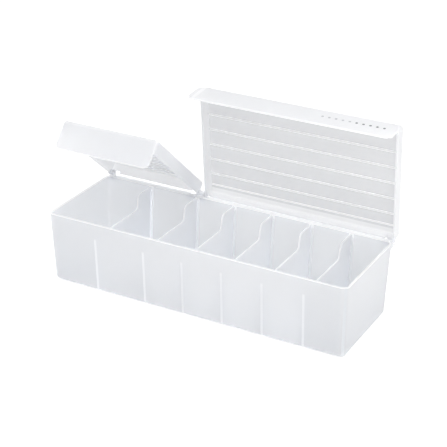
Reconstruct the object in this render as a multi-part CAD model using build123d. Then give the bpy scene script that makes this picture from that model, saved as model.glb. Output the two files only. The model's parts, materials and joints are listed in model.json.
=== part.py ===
from build123d import *
import os

# Long parts box of thin moulded plastic, in millimetres: a tray with six lift-out
# dividers and two lids that turn on the same line behind the rim.
# X runs along the length, -Y is the front and +Z is up. The origin is the middle
# of the underside. The lids are modelled closed, then turned open to their rest.

# Tray
length = 300.0
depth = 102.0
height = 70.0
wall = 1.8
floor = 2.0
end_draft = 1.5
side_draft = 4.0
corner_radius = 6.0
foot_radius = 4.5
inner_foot_radius = 3.0
rim_round = 0.5

# Compartments: wide ones from the left end, then narrow ones that share the rest
wide_cells = 2
narrow_cells = 5
wide_pitch = 50.85
narrow_pitch = (length - wide_cells * wide_pitch) / narrow_cells

# Dividers
divider_thickness = 1.4
divider_side_gap = 0.3
divider_top_gap = 0.7
high_shelf = 23.0
step_slope = 3.0
step_drop = 14.6
front_rise = 0.6
crest_radius = 5.0
hollow_radius = 4.0
front_corner_radius = 5.0
rear_corner_radius = 1.5
divider_foot_radius = 4.2
divider_edge_round = 0.35

# Guide ribs that hold the dividers
guide_gap = 0.2
guide_width = 1.2
guide_reach = 2.0
guide_lead = 1.6
front_guide_drop = 17.5
rear_guide_drop = 3.0

# Hinge line, posts and ledges behind the rim
post_radius = 3.0
axis_rise = 1.5
pin_radius = 1.4
pin_fit = 0.05
pin_length = 1.8
end_post_width = 4.2
middle_post_width = 6.2
middle_post_inset = 0.1
end_ledge_width = 10.0
middle_ledge_left = 9.3
middle_ledge_right = 4.5
ledge_depth = 7.0
ledge_thickness = 3.2
ledge_drop = 3.9
rim_shelf_thickness = 1.8
rim_shelf_gap = 0.6
axis_y = depth / 2 + post_radius
axis_z = height + axis_rise

# Lids
lid_wall = 1.6
lid_rise = 12.0
flange_gap = 0.4
flange_depth = 28.0
lid_tail = 3.2
skirt_gap = 0.3
hinge_side_gap = 0.3
lids_gap = 0.8
post_gap = 0.6
ear_radius = 2.7
lid_corner_radius = 3.0
lid_edge_radius = 2.6
lid_inner_radius = 1.3
lid_edge_round = 0.4
flange_corner_radius = 7.0
tail_drop = 1.0
lid_rib_count = 5
lid_rib_pitch = 15.4
lid_rib_width = 1.4
lid_rib_height = 1.2
first_lid_rib = 80.3
last_lid_rib = 6.8
last_lid_rib_height = 0.7
rib_crest_round = 0.4
small_lid_open = 41.0
large_lid_open = 84.5

# Overlap between pieces that are moulded as one, and how far a cut runs past a face
bite = 0.6
overcut = 1.0
# How near two places are when they count as one
same_place = 0.1

# Places that follow from the sizes above
split_x = -length / 2 + wide_cells * wide_pitch
middle_post_left = split_x - divider_thickness / 2 + middle_post_inset
middle_post_right = middle_post_left + middle_post_width
lid_top = axis_z + lid_rise
lid_bottom = height + skirt_gap
lid_front = -depth / 2 - flange_gap - lid_wall
lid_rear = axis_y + lid_tail
rim_shelf_rear = axis_y + tail_drop - rim_shelf_gap


def outer_half(size, draft, z):
    """Half the tray's outer size at height z: the walls lean out from the base."""
    return size / 2 - draft * (1 - z / height)


def inner_y(z):
    """Distance from the middle plane to the inside of the front or rear wall at height z."""
    return outer_half(depth, side_draft, z) - wall


def box_between(low, high):
    """A box from its lowest corner to its highest."""
    size = [high[i] - low[i] for i in range(3)]
    centre = [(high[i] + low[i]) / 2 for i in range(3)]
    return Pos(*centre) * Box(*size)


def along_x(outline, x_low, x_high):
    """An outline drawn in Y and Z, carried from x_low to x_high."""
    return extrude(Plane.YZ.offset(x_low) * outline, amount=x_high - x_low)


def drafted_block(inset, z_low, z_high, radius):
    """A block whose sides follow the tray's outer sides, moved in by inset."""
    slices = []
    for z in (z_low, z_high):
        half_x = outer_half(length, end_draft, z) - inset
        half_y = outer_half(depth, side_draft, z) - inset
        slices.append(Pos(0, 0, z) * RectangleRounded(2 * half_x, 2 * half_y, radius))
    return loft(slices)


def tray_cavity():
    """The space inside the walls, open through the rim."""
    block = drafted_block(wall, floor, height + wall, corner_radius - wall)
    return fillet(block.faces().sort_by(Axis.Z)[0].edges(), inner_foot_radius)


def tray_shell(cavity):
    """Floor and four walls with a rounded foot and a rounded rim."""
    block = drafted_block(0, 0, height, corner_radius)
    block = fillet(block.faces().sort_by(Axis.Z)[0].edges(), foot_radius)
    shell = block - cavity
    rim = shell.faces().sort_by(Axis.Z)[-1]
    return fillet(rim.edges(), rim_round)


def divider_places():
    """Middle of each divider along the length, from the left."""
    places = [-length / 2 + wide_pitch * (i + 1) for i in range(wide_cells)]
    places += [split_x + narrow_pitch * (i + 1) for i in range(narrow_cells - 1)]
    return places


def guide_rib(x, side, top):
    """One upright rib on the front (side -1) or rear (side +1) wall, its top sloped back."""
    bottom = floor - bite
    face = [
        (side * (inner_y(bottom) + bite), bottom),
        (side * (inner_y(bottom) - guide_reach), bottom),
        (side * (inner_y(top - guide_lead) - guide_reach), top - guide_lead),
        (side * (inner_y(top) + bite), top),
    ]
    outline = make_face(Polyline(*face, close=True))
    return along_x(outline, x - guide_width / 2, x + guide_width / 2)


def guide_ribs():
    """A pair of ribs on each wall for every divider."""
    offset = divider_thickness / 2 + guide_gap + guide_width / 2
    ribs = []
    for place in divider_places():
        for x in (place - offset, place + offset):
            ribs.append(guide_rib(x, -1, height - front_guide_drop))
            ribs.append(guide_rib(x, 1, height - rear_guide_drop))
    return ribs


def hinge_post(x_low, x_high):
    """An upright post with a round head about the hinge line."""
    foot = axis_z - ledge_drop - ledge_thickness
    outline = Pos(axis_y, axis_z) * Circle(post_radius)
    outline += Pos(axis_y, (axis_z + foot) / 2) * Rectangle(2 * post_radius, axis_z - foot)
    return along_x(outline, x_low, x_high)


def hinge_ledge(x_low, x_high):
    """A shelf behind the rear wall that the lid's end leans on when it is fully open."""
    top = axis_z - ledge_drop
    low = (x_low, depth / 2 - corner_radius, top - ledge_thickness)
    return box_between(low, (x_high, depth / 2 + ledge_depth, top))


def rim_shelf(x_low, x_high):
    """The rim turned out behind the rear wall, just short of the lid's rear skirt when it is open."""
    low = (x_low - bite, depth / 2 - wall / 2, height - rim_shelf_thickness)
    shelf = box_between(low, (x_high + bite, rim_shelf_rear, height))
    return fillet(shelf.edges().filter_by(Axis.X).sort_by(Axis.Y)[-2:], rim_round)


def hinge_pin(x_post, x_tip):
    """A stub pin on the hinge line, from the side of a post to its tip."""
    ends = sorted((x_post, x_tip))
    return along_x(Pos(axis_y, axis_z) * Circle(pin_radius), *ends)


def hinge_supports():
    """Three ledges with the turned-out rim between them, three posts and the lids' stub pins."""
    left = -length / 2
    right = length / 2
    post_in = lid_wall + hinge_side_gap
    left_post = left + post_in
    right_post = right - post_in
    left_ledge_end = left + end_ledge_width
    right_ledge_end = right - end_ledge_width
    middle_ledge = (middle_post_left - middle_ledge_left, middle_post_right + middle_ledge_right)
    parts = [
        hinge_ledge(left, left_ledge_end),
        hinge_ledge(*middle_ledge),
        hinge_ledge(right_ledge_end, right),
        rim_shelf(left_ledge_end, middle_ledge[0]),
        rim_shelf(middle_ledge[1], right_ledge_end),
        hinge_post(left_post, left_post + end_post_width),
        hinge_post(middle_post_left, middle_post_right),
        hinge_post(right_post - end_post_width, right_post),
        hinge_pin(left_post + bite, left_post - pin_length),
        hinge_pin(middle_post_left + bite, middle_post_left - pin_length),
        hinge_pin(middle_post_right - bite, middle_post_right + pin_length),
        hinge_pin(right_post - bite, right_post + pin_length),
    ]
    return parts[0].fuse(*parts[1:])


def make_tray():
    """The tray with its guide ribs and hinge supports, moulded as one."""
    cavity = tray_cavity()
    shell = tray_shell(cavity)
    supports = hinge_supports() - cavity
    return shell.fuse(supports, *guide_ribs())


def round_corner(outline, corner, radius):
    """Round the corner of a flat outline that stands at a given point."""
    return fillet(outline.vertices().sort_by_distance((*corner, 0))[0], radius)


def make_divider(x):
    """A thin wall, tall at the rear, that steps down in a soft S to a low front."""
    top = height - divider_top_gap
    low = top - step_drop
    front_top = low + front_rise
    shelf_y = inner_y(top) - divider_side_gap - high_shelf
    foot_y = inner_y(floor) - divider_side_gap
    rear_foot = (foot_y, floor)
    rear_top = (inner_y(top) - divider_side_gap, top)
    crest = (shelf_y, top)
    hollow = (shelf_y - step_slope, low)
    front_corner = (divider_side_gap - inner_y(front_top), front_top)
    front_foot = (-foot_y, floor)
    points = [rear_foot, rear_top, crest, hollow, front_corner, front_foot]
    outline = make_face(Polyline(*points, close=True))
    outline = round_corner(outline, rear_foot, divider_foot_radius)
    outline = round_corner(outline, front_foot, divider_foot_radius)
    outline = round_corner(outline, front_corner, front_corner_radius)
    outline = round_corner(outline, hollow, hollow_radius)
    outline = round_corner(outline, crest, crest_radius)
    outline = round_corner(outline, rear_top, rear_corner_radius)
    half = divider_thickness / 2
    sheet = along_x(outline, x - half, x + half)
    return fillet(sheet.faces().filter_by(Axis.X).edges(), divider_edge_round)


def lid_form(x_low, x_high, inset, z_low, corner, edge):
    """A block with round upright corners and a round top, moved in by inset."""
    low = (x_low + inset, lid_front + inset, z_low)
    high = (x_high - inset, lid_rear - inset, lid_top - inset)
    block = box_between(low, high)
    block = fillet(block.edges().filter_by(Axis.Z), corner)
    return fillet(block.faces().sort_by(Axis.Z)[-1].edges(), edge)


def flange_corner_cut(x, side):
    """What is taken off a lower corner of the flange, at the left (-1) or right (+1)."""
    low_z = lid_top - flange_depth
    centre = Pos(x - side * flange_corner_radius, low_z + flange_corner_radius)
    half = flange_corner_radius / 2
    square = Pos(side * half, -half) * Rectangle(flange_corner_radius, flange_corner_radius)
    corner = centre * (square - Circle(flange_corner_radius))
    return extrude(Plane.XZ.offset(overcut - lid_front) * corner, amount=-(lid_wall + 2 * overcut))


def lid_ribs(x_low, x_high):
    """Low ribs across the ceiling of the lid, from skirt to skirt."""
    ceiling = lid_top - lid_wall
    places = [(first_lid_rib - lid_rib_pitch * i, lid_rib_height) for i in range(lid_rib_count)]
    places.append((last_lid_rib, last_lid_rib_height))
    ribs = []
    for reach, rib_height in places:
        y = axis_y - reach
        low = (x_low + lid_wall - bite, y - lid_rib_width / 2, ceiling - rib_height)
        high = (x_high - lid_wall + bite, y + lid_rib_width / 2, ceiling + bite)
        rib = box_between(low, high)
        crest = rib.faces().sort_by(Axis.Z)[0].edges().filter_by(Axis.X)
        ribs.append(fillet(crest, rib_crest_round))
    return ribs


def hinge_ear(x_low, x_high):
    """The round end of a skirt about the hinge line."""
    return along_x(Pos(axis_y, axis_z) * Circle(ear_radius), x_low, x_high)


def at_depth(edges, y):
    """The edges whose middle lies at a given Y."""
    return edges.filter_by(lambda edge: abs(edge.center().Y - y) < same_place)


def soften_flange(lid):
    """Round the flange's free edge, inside along its whole outline and outside along the bottom."""
    below_skirts = lid.edges().filter_by(lambda edge: edge.center().Z < lid_bottom - overcut)
    inside = at_depth(below_skirts, lid_front + lid_wall)
    outside = at_depth(below_skirts, lid_front)
    bottom = outside.filter_by(lambda edge: edge.center().Z < lid_top - flange_depth + lid_wall)
    return fillet(inside + bottom, lid_edge_round)


def make_lid(x_low, x_high, left_clear, right_clear):
    """A closed lid: panel, deep front flange, two side skirts, rear skirt, ribs and bored ears.

    The rear skirt is notched over the hinge posts, by left_clear and right_clear from its ends.
    """
    low_z = lid_top - flange_depth
    lid = lid_form(x_low, x_high, 0, low_z, lid_corner_radius, lid_edge_radius)
    inner_corner = lid_corner_radius - lid_wall
    lid -= lid_form(x_low, x_high, lid_wall, low_z - overcut, inner_corner, lid_inner_radius)
    under_low = (x_low - overcut, lid_front + lid_wall, low_z - overcut)
    lid -= box_between(under_low, (x_high + overcut, lid_rear + overcut, lid_bottom))
    tail_low = (x_low + lid_wall, axis_y, lid_bottom - overcut)
    lid -= box_between(tail_low, (x_high - lid_wall, lid_rear + overcut, axis_z + tail_drop))
    gaps = [(x_low + lid_wall, x_low + left_clear), (x_high - right_clear, x_high - lid_wall)]
    for gap_left, gap_right in gaps:
        low = (gap_left, lid_rear - lid_corner_radius, lid_bottom - overcut)
        lid -= box_between(low, (gap_right, lid_rear + overcut, axis_z + post_radius + post_gap))
    lid -= flange_corner_cut(x_low, -1)
    lid -= flange_corner_cut(x_high, 1)
    lid = soften_flange(lid)
    ears = [hinge_ear(x_low, x_low + lid_wall), hinge_ear(x_high - lid_wall, x_high)]
    lid = lid.fuse(*ears, *lid_ribs(x_low, x_high))
    bore = Pos(axis_y, axis_z) * Circle(pin_radius + pin_fit)
    return lid - along_x(bore, x_low - overcut, x_high + overcut)


def opened(lid, angle):
    """The lid turned open about the hinge line."""
    return lid.rotate(Axis((0, axis_y, axis_z), (-1, 0, 0)), angle)


def flange_wing(x_end, x_lid):
    """The large lid's flange carried on past its left skirt, with a round end."""
    low = (x_end, lid_front, lid_top - flange_depth)
    high = (x_lid + flange_corner_radius, lid_front + lid_wall, lid_top - lid_edge_radius)
    plate = box_between(low, high)
    end = plate.edges().filter_by(Axis.Y).group_by(Axis.X)[0]
    return fillet(end, flange_corner_radius)


def small_lid():
    """The left lid, over the wide compartments."""
    x_high = middle_post_left - hinge_side_gap
    lid = make_lid(-length / 2, x_high, end_ledge_width, middle_ledge_left)
    return opened(lid, small_lid_open)


def large_lid():
    """The right lid, over the narrow compartments."""
    x_low = middle_post_right + hinge_side_gap
    lid = make_lid(x_low, length / 2, middle_ledge_right, end_ledge_width)
    lid = lid.fuse(flange_wing(middle_post_left - hinge_side_gap + lids_gap, x_low))
    return opened(lid, large_lid_open)


os.makedirs("parts", exist_ok=True)
nodes = {"tray_body": make_tray(), "small_lid": small_lid(), "large_lid": large_lid()}
for number, place in enumerate(divider_places(), start=1):
    nodes["divider_" + str(number)] = make_divider(place)
for name, solid in nodes.items():
    export_step(solid, "parts/" + name + ".step")
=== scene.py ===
import json
import math

import bmesh
import bpy
from bpy.props import FloatProperty, FloatVectorProperty, IntProperty, PointerProperty
from bpy.types import Operator, Panel, PropertyGroup
from mathutils import Matrix, Vector


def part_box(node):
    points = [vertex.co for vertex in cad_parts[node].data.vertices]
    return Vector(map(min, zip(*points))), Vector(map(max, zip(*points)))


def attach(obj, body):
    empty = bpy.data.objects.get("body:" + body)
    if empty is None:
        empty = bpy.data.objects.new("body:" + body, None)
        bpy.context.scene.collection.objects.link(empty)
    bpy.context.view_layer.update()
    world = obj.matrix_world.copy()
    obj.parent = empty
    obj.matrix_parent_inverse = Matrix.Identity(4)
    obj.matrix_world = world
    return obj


bl_info = {
    "name": "Compartment box looks",
    "version": (1, 0, 0),
    "blender": (4, 5, 0),
    "location": "3D View > Sidebar > Box",
    "description": "Gives a lidded compartment box its frosted plastic, printed dots, light and camera",
    "category": "Object",
}

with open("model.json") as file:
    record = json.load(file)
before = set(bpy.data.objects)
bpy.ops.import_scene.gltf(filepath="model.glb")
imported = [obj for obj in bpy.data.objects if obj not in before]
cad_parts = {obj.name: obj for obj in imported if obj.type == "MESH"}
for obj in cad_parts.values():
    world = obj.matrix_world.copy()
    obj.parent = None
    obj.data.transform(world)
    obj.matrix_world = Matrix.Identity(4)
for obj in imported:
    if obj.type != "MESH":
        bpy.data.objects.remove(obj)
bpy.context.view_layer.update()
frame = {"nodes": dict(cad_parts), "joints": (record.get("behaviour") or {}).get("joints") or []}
DIVIDERS = sorted(name for name in frame["nodes"] if name.startswith("divider_"))
MM = 0.001


# The tray and its dividers, as the model has them
WALL = 1.8 * MM
FLOOR = 2.0 * MM
END_DRAFT = 1.5 * MM
SIDE_DRAFT = 4.0 * MM
DIVIDER_TOP_GAP = 0.7 * MM
FRONT_EDGE_DROP = 16.0 * MM

# The lids, as the model has them, measured closed from the hinge line
LID_WALL = 1.6 * MM
LID_RISE = 12.0 * MM
LID_REACH = 107.0 * MM
FLANGE_DEPTH = 28.0 * MM
LID_RIB_COUNT = 5
LID_RIB_PITCH = 15.4 * MM
FIRST_LID_RIB = 80.3 * MM
LAST_LID_RIB = 6.8 * MM
# How far each lid's flange runs on past its left skirt
FLANGE_WINGS = {"small_lid": 0.0, "large_lid": 6.0 * MM}

# Where the masks of painted highlight and painted glow on the plastic begin and end
EDGE_SOFTNESS = 0.3 * MM
FRONT_LINE_HALF_WIDTH = 1.1 * MM
FRONT_LINE_FADE = 2.0 * MM
REAR_RIBS_HALF_WIDTH = 2.4 * MM
REAR_RIBS_FROM = 30.0 * MM
LID_RIB_HALF_WIDTH = 0.9 * MM
RIB_END_GAP = 0.7 * MM
RIM_BAND = 0.8 * MM
FLANGE_EDGE_BAND = 0.8 * MM
SKIRT_OVER = 0.3 * MM
LEFT_END = 60.0 * MM
LEFT_END_FADE = 100.0 * MM
HINGE_FROM = 51.5 * MM
HINGE_REACH = 3.4 * MM
# Farther than any face of the box
FAR = 1.0

# Slow flow marks and fine grain of the plastic: how far they shift its shade and roughness
FLOW_SCALE = 14.0
FLOW_SHADE = 0.05
MEAN_SHADE = 0.99
ROUGHNESS_WANDER = 0.08
PLASTIC_IOR = 1.49

# Printing ink
INK_SCALE = 900.0
INK_THINNING = 1.5
INK_ROUGHNESS = 0.55
DOT_SEGMENTS = 24
DOT_TAPER = 0.94

# Camera and stage
SENSOR_WIDTH = 36.0
NEAREST = 0.01
FARTHEST = 100.0
FLOOR_HALF_SIZE = 6.0
FLOOR_ROUGHNESS = 0.9
WHITE = (1, 1, 1, 1)
# Bounces that light needs to pass through the many thin milky walls
MOST_BOUNCES = 40
MOST_MILKY_BOUNCES = 24


class BoxPlastic(PropertyGroup):
    """Colours and clarity of the frosted plastic, and its painted shade, painted highlights and painted
    glow.
    """
    tray_colour: FloatVectorProperty(
        name="Tray colour", description="Milky body colour of the tray",
        subtype="COLOR", size=3, min=0, max=1, default=(0.83, 0.84, 0.865))
    # Painted shade: the tray's walls darken towards this colour down at the foot, as light falls from
    # above.
    foot_painted_shade: FloatVectorProperty(
        name="Foot colour", description="Milky colour of the tray's walls down at the foot",
        subtype="COLOR", size=3, min=0, max=1, default=(0.70, 0.71, 0.735))
    # Painted shade: a separate colour for the tray's inner faces, the same plastic toned for the light
    # inside.
    inner_painted_shade: FloatVectorProperty(
        name="Inner colour", description="Milky colour of the tray's inside",
        subtype="COLOR", size=3, min=0, max=1, default=(0.80, 0.825, 0.86))
    # Partly painted shade: the lids' plastic colour, set darker than the tray's so that the lid panels
    # come out darker.
    lid_colour_with_painted_shade: FloatVectorProperty(
        name="Lid colour", description="Milky body colour of the lids",
        subtype="COLOR", size=3, min=0, max=1, default=(0.735, 0.745, 0.775))
    # Painted light: the dividers' plastic colour, set much lighter than the tray's to lift the shade
    # inside the compartments.
    divider_colour_with_painted_light: FloatVectorProperty(
        name="Divider colour", description="Milky body colour of the dividers",
        subtype="COLOR", size=3, min=0, max=1, default=(0.985, 0.988, 0.995))
    # Painted highlight colour: ribs, edges, rims, skirts, flanges and hinge parts are whitened towards
    # it, and the painted glow takes this colour.
    painted_highlight_colour: FloatVectorProperty(
        name="Thick colour", description="Colour where ribs and edges make the plastic thicker",
        subtype="COLOR", size=3, min=0, max=1, default=(0.985, 0.988, 0.995))
    # Painted glow: emission strength where the painted highlights lie.
    painted_rib_glow: FloatProperty(
        name="Rib glow", description="Strength of the light that ribs and edges gather",
        min=0, default=0.1)
    # Painted highlight: how strongly pale lines are painted where the dividers' front edges stand
    # behind the front wall.
    painted_front_line: FloatProperty(
        name="Front line", description="How strongly the dividers' edges show through the front",
        min=0, max=1, default=0.4, subtype="FACTOR")
    # Painted highlight: how far the rear guide ribs inside the tray are whitened, to lift the shade
    # beside them.
    painted_rear_ribs: FloatProperty(
        name="Rear ribs", description="How strongly the rear guide ribs show",
        min=0, max=1, default=0.6, subtype="FACTOR")
    # Painted highlight: how far the lids' side skirts are whitened.
    painted_skirt_glow: FloatProperty(
        name="Skirt glow", description="How strongly the lids' side skirts show",
        min=0, max=1, default=0.65, subtype="FACTOR")
    # Painted highlight: how far the lids' front flanges are whitened.
    painted_flange_glow: FloatProperty(
        name="Flange glow", description="How strongly the lids' front flanges show",
        min=0, max=1, default=0.45, subtype="FACTOR")
    # Painted glow: emission strength all over the dividers, to lift their shade.
    painted_divider_glow: FloatProperty(
        name="Divider glow", description="Strength of the light caught in the thin dividers",
        min=0, default=0.045)
    # Painted glow: emission strength on the tray's inner faces, to lift their shade.
    painted_inner_glow: FloatProperty(
        name="Inner glow", description="Strength of the light caught inside the tray",
        min=0, default=0.006)
    # Painted glow: extra emission at the wide left end, on the tray's inside and the dividers, to lift
    # the shade under the small lid.
    painted_left_glow: FloatProperty(
        name="Left glow", description="Strength of the light caught at the wide left end",
        min=0, default=0.065)
    # Painted highlight: how far the hinge shelf behind the tray and the lids' hinge ears are whitened.
    painted_hinge_glow: FloatProperty(
        name="Hinge glow", description="How strongly the small hinge parts show",
        min=0, max=1, default=0.4, subtype="FACTOR")
    clarity: FloatProperty(
        name="Clarity", description="Share of the light that goes straight through the grain",
        min=0, max=1, default=0.15, subtype="FACTOR")
    depth: FloatProperty(
        name="Light depth", description="How far light wanders inside the milky plastic",
        subtype="DISTANCE", unit="LENGTH", default=0.014)
    frost: FloatProperty(
        name="Frost", description="Roughness of the moulded surface",
        min=0, max=1, default=0.42, subtype="FACTOR")
    grain: FloatProperty(
        name="Grain", description="Distance between the grains of the mould's fine texture",
        subtype="DISTANCE", unit="LENGTH", default=0.0008)
    grain_depth: FloatProperty(
        name="Grain depth", description="Height of the mould's fine texture",
        subtype="DISTANCE", unit="LENGTH", default=0.00003)


class BoxDots(PropertyGroup):
    """The row of printed dots on the large lid."""
    size: FloatProperty(
        name="Dot size", description="Diameter of a printed dot", subtype="DISTANCE",
        unit="LENGTH", default=0.0024)
    height: FloatProperty(
        name="Ink height", description="Thickness of the ink", subtype="DISTANCE",
        unit="LENGTH", default=0.00006)
    pitch: FloatProperty(
        name="Dot pitch", description="Distance from one dot to the next", subtype="DISTANCE",
        unit="LENGTH", default=0.0064)
    dark_count: IntProperty(name="Dark dots", description="Dark dots at the right", default=5, min=1)
    pale_count: IntProperty(name="Pale dots", description="Pale dots at the left", default=5, min=1)
    end_gap: FloatProperty(
        name="End gap", description="From the last dot to the end of the lid", subtype="DISTANCE",
        unit="LENGTH", default=0.0125)
    drop: FloatProperty(
        name="Drop", description="From the lid's top to the row of dots", subtype="DISTANCE",
        unit="LENGTH", default=0.0135)
    dark_ink: FloatVectorProperty(
        name="Dark ink", description="Colour of the dark dots", subtype="COLOR", size=3,
        min=0, max=1, default=(0.16, 0.165, 0.18))
    pale_ink: FloatVectorProperty(
        name="Pale ink", description="Colour of the pale dots", subtype="COLOR", size=3,
        min=0, max=1, default=(0.45, 0.455, 0.48))


class BoxStage(PropertyGroup):
    """Floor, light and camera."""
    orbit: FloatProperty(
        name="Orbit", description="How far the camera stands round to the right of the front",
        subtype="ANGLE", default=math.radians(28.135))
    rise: FloatProperty(
        name="Rise", description="How far the camera looks down", subtype="ANGLE",
        default=math.radians(25.543))
    roll: FloatProperty(
        name="Roll", description="Turn of the camera about its own line of sight",
        subtype="ANGLE", default=math.radians(0.723))
    distance: FloatProperty(
        name="Distance", description="From the aim point to the camera", subtype="DISTANCE",
        unit="LENGTH", default=1.2133)
    lens: FloatProperty(name="Lens", description="Focal length in millimetres", default=107.16)
    aim: FloatVectorProperty(
        name="Aim", description="Point in the middle of the picture", subtype="TRANSLATION",
        unit="LENGTH", size=3, default=(-0.00117, 0.01414, 0.06724))
    floor_colour: FloatVectorProperty(
        name="Floor colour", description="Colour of the floor", subtype="COLOR", size=3,
        min=0, max=1, default=(0.95, 0.95, 0.95))
    table_light: FloatProperty(
        name="Table light", description="Strength of the glow of the light table", default=0.3)
    table_gap: FloatProperty(
        name="Table gap", description="Air between the box and the light table",
        subtype="DISTANCE", unit="LENGTH", default=0.0002)
    room_light: FloatProperty(
        name="Room light", description="Strength of the even light from all sides", default=0.5)
    overhead_light: FloatProperty(
        name="Overhead light", description="Power of the broad lamp above, in watts", default=28.0)
    overhead_place: FloatVectorProperty(
        name="Overhead place", description="Where the broad lamp hangs", subtype="TRANSLATION",
        unit="LENGTH", size=3, default=(0.25, -0.4, 1.5))
    overhead_size: FloatVectorProperty(
        name="Overhead size", description="Length and width of the broad lamp",
        subtype="XYZ_LENGTH", unit="LENGTH", size=2, default=(2.4, 2.0))


def camera_axes(orbit, rise, roll):
    """Right, up and backward directions of a camera that looks down at the front."""
    back = Vector((math.sin(orbit) * math.cos(rise), -math.cos(orbit) * math.cos(rise),
                   math.sin(rise)))
    right = Vector((0, 0, 1)).cross(back).normalized()
    up = back.cross(right)
    turned_right = right * math.cos(roll) + up * math.sin(roll)
    turned_up = up * math.cos(roll) - right * math.sin(roll)
    return turned_right, turned_up, back


class BOX_OT_camera(Operator):
    """Put the camera in front of the box"""
    bl_idname = "box.camera"
    bl_label = "Camera"

    def execute(self, context):
        stage = context.scene.box_stage
        right, up, back = camera_axes(stage.orbit, stage.rise, stage.roll)
        data = bpy.data.cameras.new("camera")
        data.sensor_width = SENSOR_WIDTH
        data.lens = stage.lens
        data.clip_start = NEAREST
        data.clip_end = FARTHEST
        camera = bpy.data.objects.new("camera", data)
        context.scene.collection.objects.link(camera)
        camera.location = Vector(stage.aim) + back * stage.distance
        camera.rotation_euler = Matrix((right, up, back)).transposed().to_euler()
        context.scene.camera = camera
        return {"FINISHED"}


def group_socket(group, name, way, kind, default=None):
    """A named input or output of a node group."""
    socket = group.interface.new_socket(name=name, in_out=way, socket_type=kind)
    if default is not None:
        socket.default_value = default
    return socket


def math_node(tree, operation, *values):
    """A Math node whose inputs are sockets or numbers."""
    node = tree.nodes.new("ShaderNodeMath")
    node.operation = operation
    for socket, value in zip(node.inputs, values):
        if isinstance(value, (int, float)):
            socket.default_value = value
        else:
            tree.links.new(value, socket)
    return node.outputs[0]


def mix_colours(tree, share, first, second):
    """The colour between two colours or colour sockets, by a share from 0 to 1."""
    node = tree.nodes.new("ShaderNodeMix")
    node.data_type = "RGBA"
    tree.links.new(share, node.inputs["Factor"])
    for name, value in (("A", first), ("B", second)):
        if isinstance(value, bpy.types.NodeSocket):
            tree.links.new(value, node.inputs[name])
        else:
            node.inputs[name].default_value = (*value, 1)
    return node.outputs["Result"]


def shader_group(name):
    """An empty node group with its input and output nodes."""
    group = bpy.data.node_groups.new(name, "ShaderNodeTree")
    return group, group.nodes.new("NodeGroupInput"), group.nodes.new("NodeGroupOutput")


def moulded_surface_and_painted_light():
    """Node group: fine mould grain, slow flow marks, and the colour and roughness they give; it also
    whitens the colour towards a painted highlight colour and puts out a painted glow colour.
    """
    group, given, result = shader_group("moulded_surface_and_painted_light")
    group_socket(group, "Colour", "INPUT", "NodeSocketColor", (0.9, 0.9, 0.9, 1))
    group_socket(group, "Painted Highlight Colour", "INPUT", "NodeSocketColor", (0.98, 0.98, 0.98, 1))
    group_socket(group, "Painted Highlight", "INPUT", "NodeSocketFloat", 0.0)
    group_socket(group, "Painted Rib Glow", "INPUT", "NodeSocketFloat", 0.1)
    group_socket(group, "Painted Base Glow", "INPUT", "NodeSocketFloat", 0.0)
    group_socket(group, "Frost", "INPUT", "NodeSocketFloat", 0.4)
    group_socket(group, "Grain Scale", "INPUT", "NodeSocketFloat", 1200.0)
    group_socket(group, "Colour", "OUTPUT", "NodeSocketColor")
    group_socket(group, "Roughness", "OUTPUT", "NodeSocketFloat")
    group_socket(group, "Painted Glow", "OUTPUT", "NodeSocketColor")
    group_socket(group, "Height", "OUTPUT", "NodeSocketFloat")
    place = group.nodes.new("ShaderNodeTexCoord").outputs["Object"]

    flow = group.nodes.new("ShaderNodeTexNoise")
    flow.inputs["Scale"].default_value = FLOW_SCALE
    flow.inputs["Detail"].default_value = 2.0
    group.links.new(place, flow.inputs["Vector"])
    grain = group.nodes.new("ShaderNodeTexNoise")
    grain.inputs["Detail"].default_value = 1.0
    group.links.new(place, grain.inputs["Vector"])
    group.links.new(given.outputs["Grain Scale"], grain.inputs["Scale"])

    slow = math_node(group, "SUBTRACT", flow.outputs["Fac"], 0.5)
    shade = math_node(group, "MULTIPLY_ADD", slow, FLOW_SHADE, MEAN_SHADE)
    tinted = group.nodes.new("ShaderNodeMix")
    tinted.data_type = "RGBA"
    tinted.blend_type = "MULTIPLY"
    tinted.inputs["Factor"].default_value = 1.0
    group.links.new(given.outputs["Colour"], tinted.inputs["A"])
    group.links.new(shade, tinted.inputs["B"])
    painted_highlight_share = given.outputs["Painted Highlight"]
    # Painted highlight: the colour turns towards the highlight colour where the mask given in is 1.
    milky = mix_colours(group, painted_highlight_share, tinted.outputs["Result"], given.outputs["Painted Highlight Colour"])
    group.links.new(milky, result.inputs["Colour"])
    # Painted glow: emission on the highlights and on what the base glow reaches, though the plastic is
    # no lamp.
    strength = math_node(
        group, "MULTIPLY_ADD", painted_highlight_share, given.outputs["Painted Rib Glow"], given.outputs["Painted Base Glow"])
    painted_glow_colour = mix_colours(group, strength, (0, 0, 0), given.outputs["Painted Highlight Colour"])
    group.links.new(painted_glow_colour, result.inputs["Painted Glow"])

    fine = math_node(group, "SUBTRACT", grain.outputs["Fac"], 0.5)
    wander = math_node(group, "ADD", slow, fine)
    rough = math_node(group, "MULTIPLY_ADD", wander, ROUGHNESS_WANDER, given.outputs["Frost"])
    group.links.new(rough, result.inputs["Roughness"])
    group.links.new(grain.outputs["Fac"], result.inputs["Height"])
    return group


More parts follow.
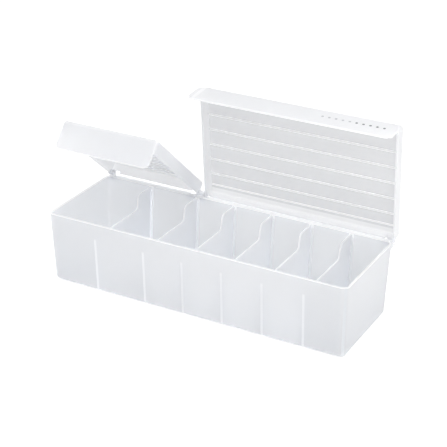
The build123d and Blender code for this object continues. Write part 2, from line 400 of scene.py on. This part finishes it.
def band():
    """Node group: 1 in a flat band across the piece, square to Direction, and 0 outside it."""
    group, given, result = shader_group("band")
    group_socket(group, "Direction", "INPUT", "NodeSocketVector", (1, 0, 0))
    group_socket(group, "Middle", "INPUT", "NodeSocketFloat", 0.0)
    group_socket(group, "Half Width", "INPUT", "NodeSocketFloat", 0.001)
    group_socket(group, "Soft", "INPUT", "NodeSocketFloat", 0.0003)
    group_socket(group, "Mask", "OUTPUT", "NodeSocketFloat")
    along = group.nodes.new("ShaderNodeVectorMath")
    along.operation = "DOT_PRODUCT"
    place = group.nodes.new("ShaderNodeTexCoord").outputs["Object"]
    group.links.new(place, along.inputs[0])
    group.links.new(given.outputs["Direction"], along.inputs[1])
    off = math_node(group, "SUBTRACT", along.outputs["Value"], given.outputs["Middle"])
    distance = math_node(group, "ABSOLUTE", off)
    inside = math_node(group, "SUBTRACT", given.outputs["Half Width"], distance)
    share = math_node(group, "DIVIDE", inside, given.outputs["Soft"])
    mask = math_node(group, "ADD", share, 0.5)
    mask.node.use_clamp = True
    group.links.new(mask, result.inputs["Mask"])
    return group


def band_node(tree, group, direction, middle, half_width, soft=EDGE_SOFTNESS):
    """One band across a piece, and its mask."""
    node = tree.nodes.new("ShaderNodeGroup")
    node.node_tree = group
    node.inputs["Direction"].default_value = direction
    node.inputs["Middle"].default_value = middle
    node.inputs["Half Width"].default_value = half_width
    node.inputs["Soft"].default_value = soft
    return node.outputs["Mask"]


def rounded_edge():
    """Node group: 0 on faces square to X and rising to 1 round the edges between them."""
    group, given, result = shader_group("rounded_edge")
    group_socket(group, "Gain", "INPUT", "NodeSocketFloat", 1.5)
    group_socket(group, "Mask", "OUTPUT", "NodeSocketFloat")
    across = group.nodes.new("ShaderNodeVectorMath")
    across.operation = "DOT_PRODUCT"
    across.inputs[1].default_value = (1, 0, 0)
    facing = group.nodes.new("ShaderNodeTexCoord").outputs["Normal"]
    group.links.new(facing, across.inputs[0])
    flat = math_node(group, "ABSOLUTE", across.outputs["Value"])
    turned = math_node(group, "SUBTRACT", 1.0, flat)
    mask = math_node(group, "MULTIPLY", turned, given.outputs["Gain"])
    mask.node.use_clamp = True
    group.links.new(mask, result.inputs["Mask"])
    return group


def joined(tree, operation, masks):
    """Several masks made one, by the Math operation named."""
    result = masks[0]
    for mask in masks[1:]:
        result = math_node(tree, operation, result, mask)
    return result


def frosted_plastic(name, colour, look, surface):
    """Milky plastic that light wanders through, with a fine grain on its surface.

    Returns the material, its tree and the node that takes its colour and the mask of its painted
    highlights; that node also drives a painted glow through the emission.
    """
    material = bpy.data.materials.new(name)
    material.use_nodes = True
    tree = material.node_tree
    shader = tree.nodes["Principled BSDF"]
    shader.inputs["IOR"].default_value = PLASTIC_IOR
    shader.inputs["Transmission Weight"].default_value = look.clarity
    shader.inputs["Subsurface Weight"].default_value = 1.0
    shader.inputs["Subsurface Radius"].default_value = (1.0, 1.0, 1.0)
    shader.inputs["Subsurface Scale"].default_value = look.depth
    moulded = tree.nodes.new("ShaderNodeGroup")
    moulded.node_tree = surface
    moulded.inputs["Colour"].default_value = (*colour, 1)
    moulded.inputs["Painted Highlight Colour"].default_value = (*look.painted_highlight_colour, 1)
    moulded.inputs["Painted Rib Glow"].default_value = look.painted_rib_glow
    moulded.inputs["Frost"].default_value = look.frost
    moulded.inputs["Grain Scale"].default_value = 1 / look.grain
    bump = tree.nodes.new("ShaderNodeBump")
    bump.inputs["Distance"].default_value = look.grain_depth
    tree.links.new(moulded.outputs["Height"], bump.inputs["Height"])
    tree.links.new(moulded.outputs["Colour"], shader.inputs["Base Color"])
    tree.links.new(moulded.outputs["Roughness"], shader.inputs["Roughness"])
    # Painted glow: the node's glow colour lights the plastic as emission.
    tree.links.new(moulded.outputs["Painted Glow"], shader.inputs["Emission Color"])
    shader.inputs["Emission Strength"].default_value = 1.0
    tree.links.new(bump.outputs["Normal"], shader.inputs["Normal"])
    return material, tree, moulded


def inside_tray(tree, bands):
    """Mask of the tray's inner faces, up to the middle of its leaning walls."""
    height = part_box("divider_1")[1].z + DIVIDER_TOP_GAP
    low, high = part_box("tray_body")
    half_length = high.x - END_DRAFT - WALL / 2
    half_depth = -low.y - SIDE_DRAFT - WALL / 2
    masks = [band_node(tree, bands, (0, 0, 1), FAR, FAR - FLOOR / 2)]
    for side in (-1, 1):
        end_lean = -END_DRAFT / height
        side_lean = -SIDE_DRAFT / height
        masks.append(band_node(tree, bands, (side, 0, end_lean), half_length - FAR, FAR))
        masks.append(band_node(tree, bands, (0, side, side_lean), half_depth - FAR, FAR))
    return joined(tree, "MINIMUM", masks)


def painted_glow_level(tree, look, bands, evenly):
    """Painted glow, as emission strength: some everywhere, and more at the wide left end to lift the
    shade there.
    """
    left = band_node(tree, bands, (1, 0, 0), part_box("tray_body")[0].x, LEFT_END, LEFT_END_FADE)
    return math_node(tree, "MULTIPLY_ADD", left, look.painted_left_glow, evenly)


def tray_colour_and_painted_shade(tree, look, inside):
    """The tray's colour with painted shade: darker down at the foot, and a separate painted shade
    colour on the inner faces.
    """
    place = tree.nodes.new("ShaderNodeTexCoord").outputs["Object"]
    parts = tree.nodes.new("ShaderNodeSeparateXYZ")
    tree.links.new(place, parts.inputs["Vector"])
    rise = tree.nodes.new("ShaderNodeMapRange")
    rise.inputs["From Max"].default_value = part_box("divider_1")[1].z
    tree.links.new(parts.outputs["Z"], rise.inputs["Value"])
    outer = mix_colours(tree, rise.outputs["Result"], look.foot_painted_shade, look.tray_colour)
    return mix_colours(tree, inside, outer, look.inner_painted_shade)


def painted_rib_lines(tree, look, bands, inside):
    """Mask of painted highlights: pale lines at each divider's place, which show on the front wall
    where the dividers' front edges stand behind it, and on the rear guide ribs.
    """
    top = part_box("divider_1")[1].z + DIVIDER_TOP_GAP
    fronts = []
    rears = []
    for node in DIVIDERS:
        low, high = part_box(node)
        middle = (low.x + high.x) / 2
        fronts.append(band_node(tree, bands, (1, 0, 0), middle, FRONT_LINE_HALF_WIDTH))
        rears.append(band_node(tree, bands, (1, 0, 0), middle, REAR_RIBS_HALF_WIDTH))
    # Painted highlight lines at each divider's place, up to the dividers' lowered front top.
    below = band_node(tree, bands, (0, 0, 1), 0, top - FRONT_EDGE_DROP, FRONT_LINE_FADE)
    front = math_node(tree, "MULTIPLY", joined(tree, "MAXIMUM", fronts), below)
    front = math_node(tree, "MULTIPLY", front, look.painted_front_line)
    # Painted highlight on the rear guide ribs inside the tray.
    behind = band_node(tree, bands, (0, 1, 0), FAR, FAR - REAR_RIBS_FROM)
    rear = joined(tree, "MULTIPLY", [joined(tree, "MAXIMUM", rears), behind, inside])
    rear = math_node(tree, "MULTIPLY", rear, look.painted_rear_ribs)
    return math_node(tree, "MAXIMUM", front, rear)


def tray_frost(look, surface, bands):
    """The tray's plastic, with painted shade inside, painted highlights along its guide ribs, on its
    rim and at the hinge shelf, and painted glow on its inner faces.
    """
    material, tree, moulded = frosted_plastic("tray_frost", look.tray_colour, look, surface)
    inside = inside_tray(tree, bands)
    tree.links.new(tray_colour_and_painted_shade(tree, look, inside), moulded.inputs["Colour"])
    # Painted glow on the tray's inner faces, stronger at the wide left end.
    caught = painted_glow_level(tree, look, bands, look.painted_inner_glow)
    glow = math_node(tree, "MULTIPLY", inside, caught)
    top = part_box("divider_1")[1].z + DIVIDER_TOP_GAP
    # Painted highlight: a band along the rim's top.
    rim_highlight = band_node(tree, bands, (0, 0, 1), top, RIM_BAND)
    # Painted highlight on the hinge shelf behind the rear wall.
    hinge = math_node(
        tree, "MULTIPLY", band_node(tree, bands, (0, 1, 0), FAR, FAR - HINGE_FROM), look.painted_hinge_glow)
    painted_highlight_share = joined(tree, "MAXIMUM", [painted_rib_lines(tree, look, bands, inside), rim_highlight, hinge])
    tree.links.new(glow, moulded.inputs["Painted Base Glow"])
    tree.links.new(painted_highlight_share, moulded.inputs["Painted Highlight"])
    return material


def divider_frost(look, surface, bands):
    """The dividers' plastic, with painted highlights round their edges and a painted glow all over,
    stronger at the wide left end.
    """
    material, tree, moulded = frosted_plastic("divider_frost", look.divider_colour_with_painted_light, look, surface)
    # Painted highlight round the dividers' edges, where their faces turn away from square to X.
    edge = tree.nodes.new("ShaderNodeGroup")
    edge.node_tree = rounded_edge()
    tree.links.new(edge.outputs["Mask"], moulded.inputs["Painted Highlight"])
    caught = painted_glow_level(tree, look, bands, look.painted_divider_glow)
    tree.links.new(caught, moulded.inputs["Painted Base Glow"])
    return material


def lid_hinge(joint_name):
    """Hinge point of a lid, and its turn from closed to where it rests open."""
    joint = next(item for item in frame["joints"] if item["name"] == joint_name)
    opened = math.radians(-joint["range_deg"][0])
    return Vector(joint["pos_m"]), Matrix.Rotation(opened, 3, Vector(joint["axis"]))


def lid_frost(node, joint_name, look, surface, bands):
    """A lid's plastic, with painted highlights along its ribs, its skirts, its flange, the flange's
    free edge and its hinge ears.
    """
    material, tree, moulded = frosted_plastic(node + "_frost", look.lid_colour_with_painted_shade, look, surface)
    hinge, turn = lid_hinge(joint_name)
    reach = turn @ Vector((0, -1, 0))
    up = turn @ Vector((0, 0, 1))
    from_hinge = hinge.dot(reach)
    lid_top = hinge.dot(up) + LID_RISE
    low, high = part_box(node)
    left = low.x + FLANGE_WINGS[node]
    right = high.x
    # Painted highlights: bands along the lid's ribs, on its skirts and flange, along the flange's free
    # edge, and at its hinge ears.
    places = [FIRST_LID_RIB - LID_RIB_PITCH * i for i in range(LID_RIB_COUNT)] + [LAST_LID_RIB]
    ribs = joined(tree, "MAXIMUM", [
        band_node(tree, bands, reach, from_hinge + place, LID_RIB_HALF_WIDTH) for place in places])
    rib_reach = (right - left) / 2 - LID_WALL - RIB_END_GAP
    between_skirts = band_node(tree, bands, (1, 0, 0), (left + right) / 2, rib_reach)
    under_panel = band_node(tree, bands, up, lid_top - LID_WALL / 2 - FAR, FAR)
    ribs = joined(tree, "MULTIPLY", [ribs, between_skirts, under_panel])
    skirts = joined(tree, "MAXIMUM", [
        band_node(tree, bands, (1, 0, 0), x, LID_WALL + SKIRT_OVER) for x in (left, right)])
    skirts = math_node(tree, "MULTIPLY", skirts, look.painted_skirt_glow)
    flange = band_node(tree, bands, reach, from_hinge + LID_REACH, LID_WALL / 2)
    flange = math_node(tree, "MULTIPLY", flange, look.painted_flange_glow)
    free_edge = band_node(tree, bands, up, lid_top - FLANGE_DEPTH, FLANGE_EDGE_BAND)
    ears = band_node(tree, bands, reach, from_hinge, HINGE_REACH)
    ears = math_node(tree, "MULTIPLY", ears, look.painted_hinge_glow)
    painted_highlight_share = joined(tree, "MAXIMUM", [ribs, skirts, flange, free_edge, ears])
    tree.links.new(painted_highlight_share, moulded.inputs["Painted Highlight"])
    return material


def dress(node, material):
    """Put a material in every slot of a CAD node's object."""
    for slot in frame["nodes"][node].material_slots:
        slot.material = material


class BOX_OT_plastic(Operator):
    """Give every moulded piece its frosted plastic, with painted shade, painted highlights and painted
    glow
    """
    bl_idname = "box.plastic"
    bl_label = "Plastic"

    def execute(self, context):
        look = context.scene.box_plastic
        surface = moulded_surface_and_painted_light()
        bands = band()
        dress("tray_body", tray_frost(look, surface, bands))
        dress("small_lid", lid_frost("small_lid", "small_lid_hinge", look, surface, bands))
        dress("large_lid", lid_frost("large_lid", "large_lid_hinge", look, surface, bands))
        divider = divider_frost(look, surface, bands)
        for node in DIVIDERS:
            dress(node, divider)
        return {"FINISHED"}


def ink(name, colour):
    """Flat printing ink, a little uneven where it took on the grain."""
    material = bpy.data.materials.new(name)
    material.use_nodes = True
    tree = material.node_tree
    shader = tree.nodes["Principled BSDF"]
    shader.inputs["Roughness"].default_value = INK_ROUGHNESS
    blotch = tree.nodes.new("ShaderNodeTexNoise")
    blotch.inputs["Scale"].default_value = INK_SCALE
    place = tree.nodes.new("ShaderNodeTexCoord").outputs["Object"]
    tree.links.new(place, blotch.inputs["Vector"])
    thin = [min(1, part * INK_THINNING) for part in colour]
    shades = mix_colours(tree, blotch.outputs["Fac"], colour, thin)
    tree.links.new(shades, shader.inputs["Base Color"])
    return material


def dot_row(name, places, dots, turn, material):
    """Printed dots on the large lid's flange, laid out on the closed lid and turned open with it."""
    mesh = bpy.data.meshes.new(name)
    shape = bmesh.new()
    upright = Matrix.Rotation(math.radians(90), 4, "X")
    for place in places:
        bmesh.ops.create_cone(
            shape, cap_ends=True, segments=DOT_SEGMENTS, radius1=dots.size / 2,
            radius2=dots.size / 2 * DOT_TAPER, depth=dots.height,
            matrix=turn @ Matrix.Translation(place) @ upright)
    shape.to_mesh(mesh)
    shape.free()
    mesh.materials.append(material)
    piece = bpy.data.objects.new(name, mesh)
    bpy.context.scene.collection.objects.link(piece)
    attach(piece, "large_lid")


class BOX_OT_dots(Operator):
    """Print the row of dots on the large lid's flange"""
    bl_idname = "box.dots"
    bl_label = "Printed dots"

    def execute(self, context):
        dots = context.scene.box_dots
        hinge, opened = lid_hinge("large_lid_hinge")
        turn = Matrix.Translation(hinge) @ opened.to_4x4() @ Matrix.Translation(-hinge)
        face_y = hinge.y - LID_REACH - dots.height / 2
        row_z = hinge.z + LID_RISE - dots.drop
        last_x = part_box("large_lid")[1].x - dots.end_gap
        places = [Vector((last_x - dots.pitch * i, face_y, row_z))
                  for i in range(dots.dark_count + dots.pale_count)]
        dark = ink("dark_ink", dots.dark_ink)
        pale = ink("pale_ink", dots.pale_ink)
        dot_row("dark_dots", places[:dots.dark_count], dots, turn, dark)
        dot_row("pale_dots", places[dots.dark_count:], dots, turn, pale)
        return {"FINISHED"}


class BOX_OT_stage(Operator):
    """Add the pale floor and the soft studio light"""
    bl_idname = "box.stage"
    bl_label = "Stage"

    def execute(self, context):
        stage = context.scene.box_stage
        mesh = bpy.data.meshes.new("floor")
        shape = bmesh.new()
        bmesh.ops.create_grid(shape, x_segments=1, y_segments=1, size=FLOOR_HALF_SIZE)
        shape.to_mesh(mesh)
        shape.free()
        floor = bpy.data.objects.new("floor", mesh)
        context.scene.collection.objects.link(floor)
        material = bpy.data.materials.new("floor_paper")
        material.use_nodes = True
        shader = material.node_tree.nodes["Principled BSDF"]
        shader.inputs["Base Color"].default_value = (*stage.floor_colour, 1)
        shader.inputs["Roughness"].default_value = FLOOR_ROUGHNESS
        shader.inputs["Emission Color"].default_value = WHITE
        shader.inputs["Emission Strength"].default_value = stage.table_light
        mesh.materials.append(material)
        floor.location.z = -stage.table_gap
        world = bpy.data.worlds.new("studio")
        world.use_nodes = True
        background = world.node_tree.nodes["Background"]
        background.inputs["Color"].default_value = WHITE
        background.inputs["Strength"].default_value = stage.room_light
        context.scene.world = world
        light = bpy.data.lights.new("overhead", "AREA")
        light.shape = "RECTANGLE"
        light.size, light.size_y = stage.overhead_size
        light.energy = stage.overhead_light
        lamp = bpy.data.objects.new("overhead", light)
        lamp.location = stage.overhead_place
        lamp.rotation_euler = Vector(lamp.location).to_track_quat("Z", "Y").to_euler()
        context.scene.collection.objects.link(lamp)
        context.scene.view_settings.view_transform = "Standard"
        paths = context.scene.cycles
        paths.max_bounces = MOST_BOUNCES
        paths.diffuse_bounces = MOST_MILKY_BOUNCES
        return {"FINISHED"}


class BOX_PT_looks(Panel):
    """Lists the steps that dress the box"""
    bl_idname = "BOX_PT_looks"
    bl_label = "Compartment box"
    bl_space_type = "VIEW_3D"
    bl_region_type = "UI"
    bl_category = "Box"

    def draw(self, context):
        for operator in OPERATORS:
            self.layout.operator(operator.bl_idname)


OPERATORS = (BOX_OT_camera, BOX_OT_plastic, BOX_OT_dots, BOX_OT_stage)
CLASSES = (BoxPlastic, BoxDots, BoxStage, *OPERATORS, BOX_PT_looks)


def register():
    for item in CLASSES:
        bpy.utils.register_class(item)
    bpy.types.Scene.box_plastic = PointerProperty(type=BoxPlastic)
    bpy.types.Scene.box_dots = PointerProperty(type=BoxDots)
    bpy.types.Scene.box_stage = PointerProperty(type=BoxStage)


def unregister():
    del bpy.types.Scene.box_stage
    del bpy.types.Scene.box_dots
    del bpy.types.Scene.box_plastic
    for item in reversed(CLASSES):
        bpy.utils.unregister_class(item)


def main():
    register()
    bpy.ops.box.camera()
    bpy.ops.box.plastic()
    bpy.ops.box.dots()
    bpy.ops.box.stage()


if __name__ == "__main__":
    main()
